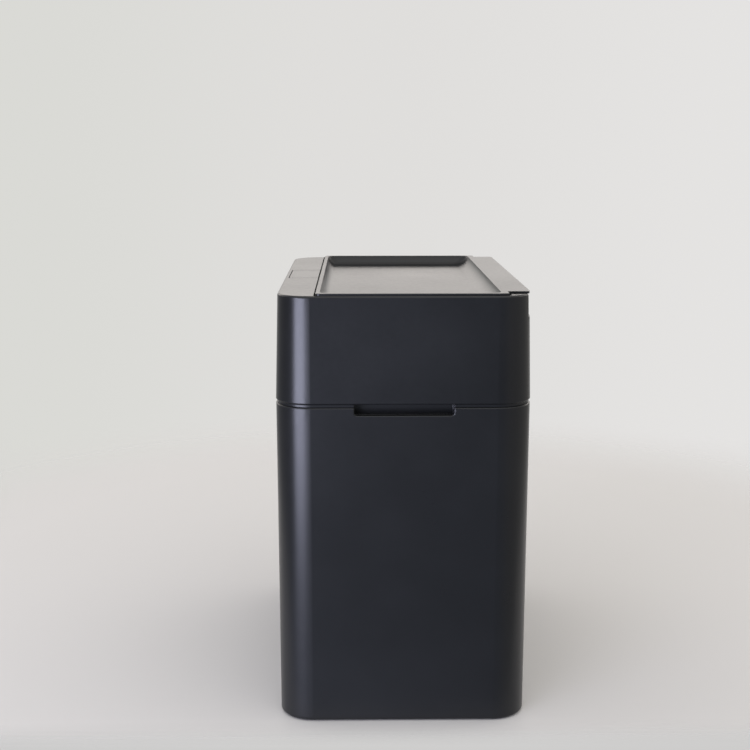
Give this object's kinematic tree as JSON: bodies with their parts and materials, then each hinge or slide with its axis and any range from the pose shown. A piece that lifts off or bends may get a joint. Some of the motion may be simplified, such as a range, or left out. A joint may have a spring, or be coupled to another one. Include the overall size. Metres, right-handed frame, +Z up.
{
  "type": "pedal trash can",
  "caption": "Slim rectangular kitchen bin: drafted body, lift-off upper casing with a push strip, sunk tray lid on a damped rear hinge, and a toe pedal that works the same latch.",
  "frame": {"origin": "on the floor, under the middle of the can", "axes": "+X along the long side, +Y from the pedal side to the hinge side, +Z up"},
  "size_m": [0.402, 0.244, 0.421],
  "materials": {
    "body_plastic": "fine-grained satin black plastic",
    "trim_plastic": "satin black plastic",
    "mechanism_plastic": "plain moulded plastic",
    "steel": "bright drawn steel",
    "rubber": "soft black rubber"
  },
  "bodies": {
    "base": {"body_bucket": "body_plastic", "mechanism_cover": "mechanism_plastic", "cover_screws": "steel", "pedal_axle": "steel", "pedal_spring": "steel", "foot_front_left": "rubber", "foot_front_right": "rubber", "foot_rear_left": "rubber", "foot_rear_right": "rubber"},
    "pedal": {"pedal_lever": "trim_plastic"},
    "lower_rod": {"lower_push_rod": "mechanism_plastic"},
    "upper_frame": {"upper_casing": "body_plastic", "latch_housing": "mechanism_plastic", "housing_screws": "steel", "latch_pin": "steel", "latch_spring": "steel", "hinge_pin_left": "steel", "hinge_pin_right": "steel", "lid_spring": "steel", "damper_body": "mechanism_plastic", "lid_bumpers": "rubber"},
    "latch": {"latch_lever": "mechanism_plastic"},
    "button": {"push_button": "trim_plastic"},
    "upper_rod": {"upper_push_rod": "mechanism_plastic"},
    "lid": {"lid_panel": "body_plastic"},
    "damper_gear": {"damper_pinion": "mechanism_plastic"}
  },
  "joints": [
    {"name": "frame_lift", "type": "slide", "parent": "base", "child": "upper_frame", "axis": [0, 0, 1], "range_m": [0, 0.12]},
    {"name": "lid_hinge", "type": "hinge", "parent": "upper_frame", "child": "lid", "pos_m": [0, 0.1094, 0.409], "axis": [-1, 0, 0], "range_deg": [0, 88], "deforming": ["lid_spring"]},
    {"name": "damper_spin", "type": "hinge", "parent": "upper_frame", "child": "damper_gear", "pos_m": [0, 0.1044, 0.397], "axis": [-1, 0, 0], "range_deg": [-141.8, 0]},
    {"name": "pedal_press", "type": "hinge", "parent": "base", "child": "pedal", "pos_m": [0, -0.0808, 0.015], "axis": [1, 0, 0], "range_deg": [0, 15.5], "stiffness_Nm_per_rad": 0.6, "springref_deg": -3.44},
    {"name": "lower_rod_lift", "type": "slide", "parent": "base", "child": "lower_rod", "axis": [0, 0, 1], "range_m": [0, 0.00524], "deforming": ["pedal_spring"]},
    {"name": "upper_rod_lift", "type": "slide", "parent": "upper_frame", "child": "upper_rod", "axis": [0, 0, 1], "range_m": [0, 0.00544]},
    {"name": "latch_release", "type": "hinge", "parent": "upper_frame", "child": "latch", "pos_m": [0, -0.0971, 0.404], "axis": [-1, 0, 0], "range_deg": [0, 20.93], "deforming": ["latch_spring"]},
    {"name": "button_press", "type": "slide", "parent": "upper_frame", "child": "button", "axis": [0, 0, -1], "range_m": [0, 0.0029], "stiffness_N_per_m": 30, "springref_m": -0.003}
  ],
  "couplings": [
    {"joint": "pedal_press", "follows": "lower_rod_lift", "rad_per_m": 50},
    {"joint": "upper_rod_lift", "follows": "lower_rod_lift", "ratio": 1},
    {"joint": "latch_release", "follows": "lower_rod_lift", "rad_per_m": 68.101},
    {"joint": "button_press", "follows": "lower_rod_lift", "ratio": 0.53333},
    {"joint": "damper_spin", "follows": "lid_hinge", "ratio": -1.6}
  ]
}
